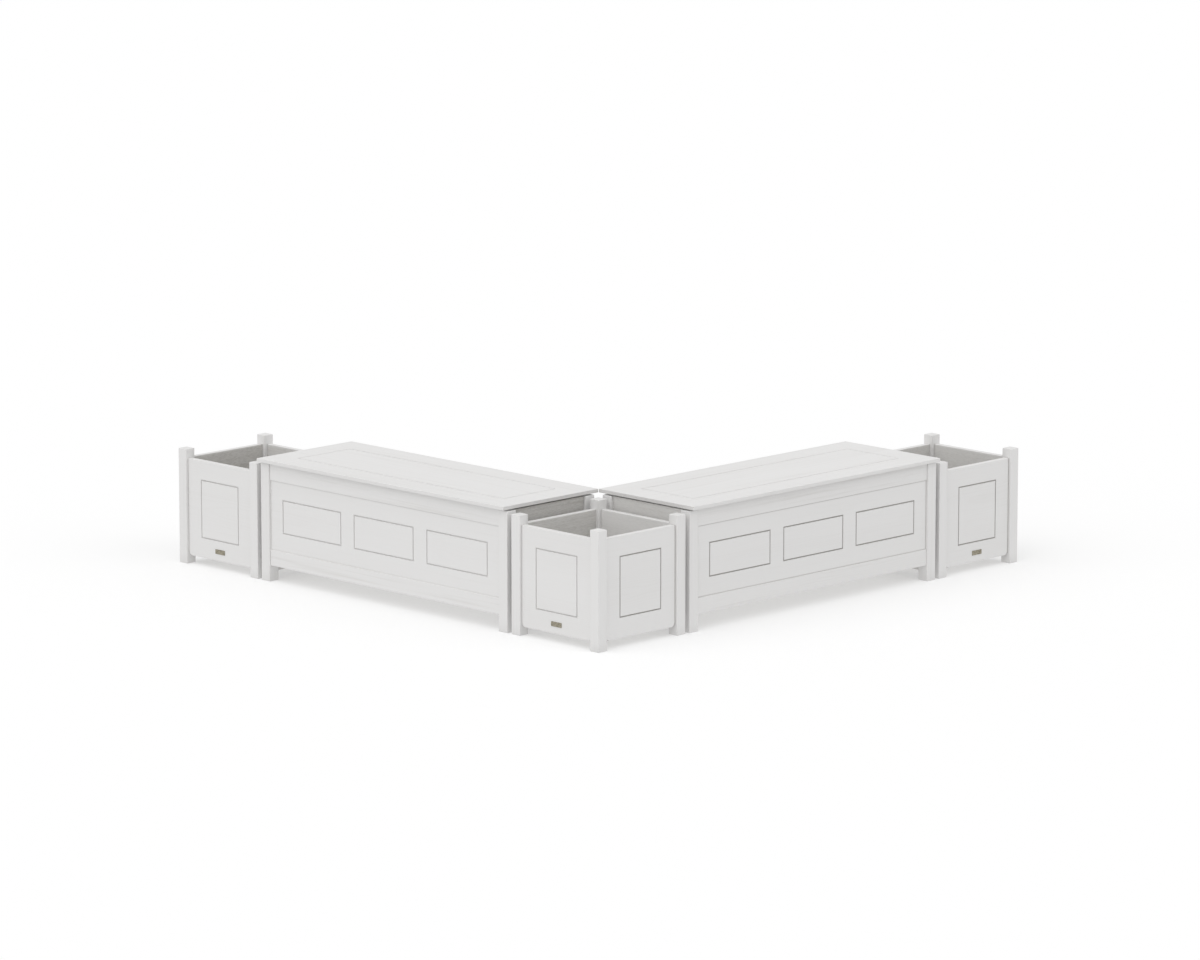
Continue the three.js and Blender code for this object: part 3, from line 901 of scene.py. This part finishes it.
class BENCHSET_OT_front_panels(bpy.types.Operator):
    """The panel on the front of each bench, with its row of routed rectangles"""

    bl_idname = "bench_set.front_panels"
    bl_label = "Front Panels"

    def execute(self, context):
        sizes, grooves, wear = map(chosen, ("boards", "grooves", "wear"))
        trim = sizes.tongue - sizes.housed
        for bench in BENCHES:
            node = f"{bench}_front_panel"
            low, high, front, run = upright(node)
            rail_low, rail_high = node_box(f"{bench}_front_bottom_rail")
            trimmed = sizes.rail_height - (rail_high - rail_low)[UP]
            for axis, shift in ((run, trim), (UP, trim + trimmed)):
                low[axis] += shift
                high[axis] -= shift
            axis, sign = front
            if sign < 0:
                low[axis] = rail_low[axis] + sizes.panel_step
            else:
                high[axis] = rail_high[axis] - sizes.panel_step
            middle = (low + high) / 2
            pitch = grooves.bench_width + grooves.bench_gap
            size = (grooves.bench_width, grooves.bench_height)
            fields = [
                ((middle[run] + (k - (grooves.bench_count - 1) / 2) * pitch, middle[UP]), size)
                for k in range(grooves.bench_count)
            ]
            # Painted shade in the grooves, at the joints with legs and rails, and on the inner face
            add_board(
                node, low, high, sizes.board_easing, run, front=front, fields=fields,
                age=wear.front_age, seams=(run, UP),
            )
        return {"FINISHED"}


class BENCHSET_OT_back_and_ends(bpy.types.Operator):
    """The back board and the two end panels of each bench"""

    bl_idname = "bench_set.back_and_ends"
    bl_label = "Backs and Ends"

    def execute(self, context):
        sizes, wear = map(chosen, ("boards", "wear"))
        for bench in BENCHES:
            for piece in ("back_panel", "end_panel_1", "end_panel_2"):
                node = f"{bench}_{piece}"
                low, high, front, run = upright(node)
                low[run] += sizes.tongue
                high[run] -= sizes.tongue
                # End panels between units take painted shade all over, more on the one facing -Y
                foot, hidden = (0.0, 0.0) if piece == "back_panel" else (sizes.foot_radius, 1.0)
                if hidden and front == SHADED_FRONT:
                    hidden = wear.minus_y_shade * wear.left_shade
                add_board(
                    node, low, high, sizes.board_easing, run, front=front, foot=foot, hidden=hidden
                )
        return {"FINISHED"}


class BENCHSET_OT_lids(bpy.types.Operator):
    """The hinged lid of each bench, a long board with one routed rectangle"""

    bl_idname = "bench_set.lids"
    bl_label = "Lids"

    def execute(self, context):
        sizes, grooves, wear = map(chosen, ("boards", "grooves", "wear"))
        for bench in BENCHES:
            node = f"{bench}_lid"
            low, high = node_box(node)
            middle, spread = (low + high) / 2, high - low
            run = int(np.argmax(spread))
            field = (middle[:2], spread[:2] - 2 * grooves.lid_inset)
            # Painted shade in the groove, on the long edges and the ends; none on the underside
            add_board(
                node, low, high, sizes.lid_easing, run, body=LID_BODIES[bench], front=(UP, 1),
                fields=[field], behind=0.0, side_dust=wear.lid_dust, end_dust=wear.lid_end_dust,
            )
        return {"FINISHED"}


class BENCHSET_OT_hinges(bpy.types.Operator):
    """Steel for each continuous hinge, and the screws in both of its leaves"""

    bl_idname = "bench_set.hinges"
    bl_label = "Hinges"

    def execute(self, context):
        for bench in BENCHES:
            low, high = node_box(f"{bench}_hinge_pin")
            run = int(np.argmax(high - low))
            steel = finish_called(f"brushed_steel_{'xy'[run]}", brushed_steel, run)
            for piece in ("frame_leaf", "lid_leaf", "pin"):
                coat_node(f"{bench}_hinge_{piece}", steel)
            self.add_screws(bench, "frame", "stand", run, steel)
            self.add_screws(bench, "lid", LID_BODIES[bench], run, steel)
        return {"FINISHED"}

    def add_screws(self, bench, leaf, body, run, steel):
        """A row of round heads along the middle of a leaf's plate."""
        sizes = chosen("fasteners")
        low, high = node_box(f"{bench}_hinge_{leaf}_leaf")
        count = round((high[run] - low[run]) / sizes.screw_spacing)
        places = np.zeros((count, 3))
        places[:, run] = np.linspace(low[run], high[run], 2 * count + 1)[1::2]
        places[:, 1 - run] = low[1 - run] + sizes.screw_inset
        if leaf == "frame":
            places[:, UP], front = low[UP] + sizes.leaf_thickness, (UP, 1)
        else:
            places[:, UP], front = high[UP] - sizes.leaf_thickness, (UP, -1)
        head = dome(sizes.screw_radius, sizes.screw_height)
        points, faces = turned(places, front, head, steps=10)
        add_piece(f"{bench}_{leaf}_leaf_screws", points, faces, {}, steel, body)


class BENCHSET_OT_floors(bpy.types.Operator):
    """Paint for the floors of the planters and benches"""

    bl_idname = "bench_set.floors"
    bl_label = "Floors"

    def execute(self, context):
        for unit in (*PLANTERS, *BENCHES):
            node = f"{unit}_floor"
            low, high = node_box(node)
            run = int(np.argmax((high - low)[:2]))
            coat_node(node, finish_called(f"brushed_paint_{'xy'[run]}", painted_wood, run))
        return {"FINISHED"}


class BENCHSET_OT_stage(bpy.types.Operator):
    """A white floor, soft light from all round with a large lamp on the left, and the camera"""

    bl_idname = "bench_set.stage"
    bl_label = "Stage"

    def execute(self, context):
        scene = context.scene
        stage = chosen("stage")
        scene.view_settings.view_transform = "Standard"
        self.add_floor(stage)
        self.light_world(scene, stage)
        self.add_lamp(scene, "key", stage.key, stage.key_from, stage.key_angle)
        self.add_lamp(scene, "fill", stage.fill, stage.fill_from, stage.fill_angle)
        self.add_camera(scene, stage)
        return {"FINISHED"}

    def by_view(self, net, light, sight):
        """The second shader for the camera, also in a mirror or through glass, else the first."""
        path = net.node("ShaderNodeLightPath")
        camera, glossy, through = (
            net.out(path, f"Is {kind} Ray") for kind in ("Camera", "Glossy", "Transmission")
        )
        seen = net.maths("MAXIMUM", net.maths("MAXIMUM", camera, glossy), through)
        shaders = {1: net.out(light), 2: net.out(sight)}
        return net.node("ShaderNodeMixShader", None, {0: seen, **shaders})

    def add_floor(self, stage):
        """A floor that the camera sees as glow plus shaded white, and that lights the set from
        below with a bounce of its own and a steady lift."""
        half = stage.floor_size / 2
        mesh = bpy.data.meshes.new("studio_floor")
        corners = [(-half, -half, 0.0), (half, -half, 0.0), (half, half, 0.0), (-half, half, 0.0)]
        mesh.from_pydata(corners, [], [(0, 1, 2, 3)])
        material = bpy.data.materials.new("studio_floor")
        net = Net(material)
        white = self.shaded_and_lit(net, stage.floor_shade, stage.floor_glow)
        below = self.shaded_and_lit(net, stage.floor_bounce, stage.floor_lift)
        net.surface(self.by_view(net, below, white))
        mesh.materials.append(material)
        floor = bpy.data.objects.new("studio_floor", mesh)
        bpy.context.collection.objects.link(floor)

    def shaded_and_lit(self, net, shade, light):
        """A grey that takes shadow, plus a light that doesn't."""
        shaded = net.node("ShaderNodeBsdfDiffuse", None, {"Color": rgba([shade] * 3)})
        lit = net.node("ShaderNodeEmission", None, {"Strength": light})
        return net.node("ShaderNodeAddShader", None, {0: net.out(shaded), 1: net.out(lit)})

    def light_world(self, scene, stage):
        """The ambient light, and plain white where the camera sees past the floor."""
        scene.world = scene.world or bpy.data.worlds.new("studio")
        net = Net(scene.world)
        ambient, white = (
            net.node("ShaderNodeBackground", None, {"Color": WHITE, "Strength": strength})
            for strength in (stage.ambient, 1.0)
        )
        net.surface(self.by_view(net, ambient, white), "ShaderNodeOutputWorld")

    def add_lamp(self, scene, name, strength, place, angle):
        """A far, wide lamp, so that its light is even over the whole floor."""
        data = bpy.data.lights.new(name, "SUN")
        data.energy = strength
        data.angle = angle
        lamp = bpy.data.objects.new(name, data)
        towards = Vector(place).normalized()
        lamp.rotation_mode = "QUATERNION"
        lamp.rotation_quaternion = towards.to_track_quat("Z", "Y")
        scene.collection.objects.link(lamp)

    def add_camera(self, scene, stage):
        """A level camera that looks down by the pitch, along the heading."""
        data = bpy.data.cameras.new("camera")
        data.sensor_width = SENSOR_WIDTH
        data.lens = stage.lens
        data.clip_start, data.clip_end = CAMERA_REACH
        camera = bpy.data.objects.new("camera", data)
        camera.location = stage.camera_place
        flat = math.cos(stage.pitch)
        forward = Vector((
            math.cos(stage.heading) * flat, math.sin(stage.heading) * flat, -math.sin(stage.pitch)
        ))
        camera.rotation_mode = "QUATERNION"
        camera.rotation_quaternion = forward.to_track_quat("-Z", "Y")
        scene.collection.objects.link(camera)
        scene.camera = camera


OPERATORS = (
    BENCHSET_OT_planter_posts,
    BENCHSET_OT_planter_panels,
    BENCHSET_OT_plates,
    BENCHSET_OT_bench_legs,
    BENCHSET_OT_rails,
    BENCHSET_OT_front_panels,
    BENCHSET_OT_back_and_ends,
    BENCHSET_OT_lids,
    BENCHSET_OT_hinges,
    BENCHSET_OT_floors,
    BENCHSET_OT_stage,
)


class BENCHSET_PT_pieces(bpy.types.Panel):
    """Lists the pieces of the set and the stage"""

    bl_idname = "BENCHSET_PT_pieces"
    bl_label = "Corner Bench Set"
    bl_space_type = "VIEW_3D"
    bl_region_type = "UI"
    bl_category = "Bench Set"

    def draw(self, context):
        for group in GROUPS:
            box = self.layout.box()
            values = chosen(group)
            for name in values.bl_rna.properties.keys():
                if name not in ("rna_type", "name"):
                    box.prop(values, name)
        for operator in OPERATORS:
            self.layout.operator(operator.bl_idname)


CLASSES = (*GROUPS.values(), *OPERATORS, BENCHSET_PT_pieces)


def register():
    for item in CLASSES:
        bpy.utils.register_class(item)
    for name, group in GROUPS.items():
        setattr(bpy.types.Scene, f"bench_set_{name}", PointerProperty(type=group))


def unregister():
    for name in GROUPS:
        delattr(bpy.types.Scene, f"bench_set_{name}")
    for item in reversed(CLASSES):
        bpy.utils.unregister_class(item)


def main():
    register()
    for operator in OPERATORS:
        getattr(bpy.ops.bench_set, operator.bl_idname.split(".")[1])()


if __name__ == "__main__":
    main()
